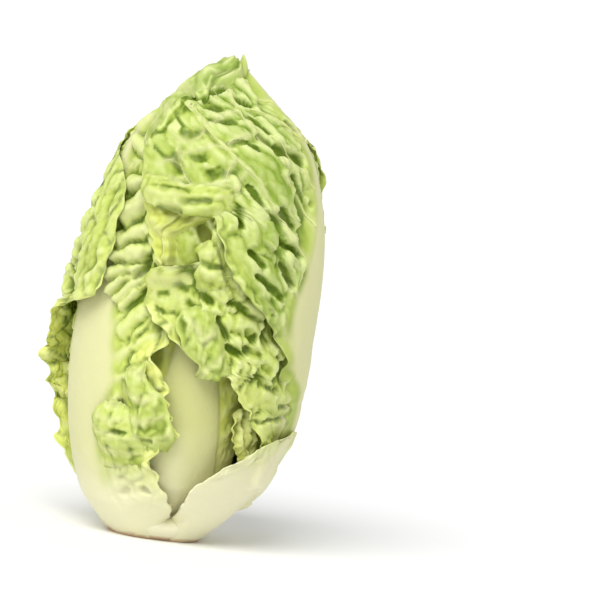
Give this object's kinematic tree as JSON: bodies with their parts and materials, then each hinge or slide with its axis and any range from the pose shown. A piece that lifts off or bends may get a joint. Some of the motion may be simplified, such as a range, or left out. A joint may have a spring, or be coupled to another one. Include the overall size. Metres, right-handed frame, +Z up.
{
  "type": "lettuce heart",
  "caption": "Upright lettuce heart: pale ribbed, crinkled leaves wrapped round a short stem that is cut flat at the base.",
  "frame": {"origin": "centre of the flat cut face at the base of the stem", "axes": "+Z up along the head from the cut base to the tip, -Y towards the side with the open front, +X to the right when seen from there"},
  "size_m": [0.0907, 0.0838, 0.1612],
  "materials": {
    "stem": null,
    "heart_leaf": null,
    "inner_leaf": null,
    "centre_leaf": null,
    "outer_leaf": null,
    "back_leaf": null,
    "base_leaf": null
  },
  "bodies": {
    "root": {"stem": "stem", "heart_leaf_1": "heart_leaf", "heart_leaf_2": "heart_leaf", "heart_leaf_3": "heart_leaf", "heart_leaf_4": "heart_leaf", "leaf_back_inner": "inner_leaf", "leaf_fold": "inner_leaf", "leaf_centre": "centre_leaf", "leaf_left": "outer_leaf", "leaf_right_inner": "outer_leaf", "leaf_right": "outer_leaf", "leaf_back_left": "outer_leaf", "leaf_back_right": "back_leaf", "leaf_front_right": "base_leaf"}
  },
  "joints": []
}
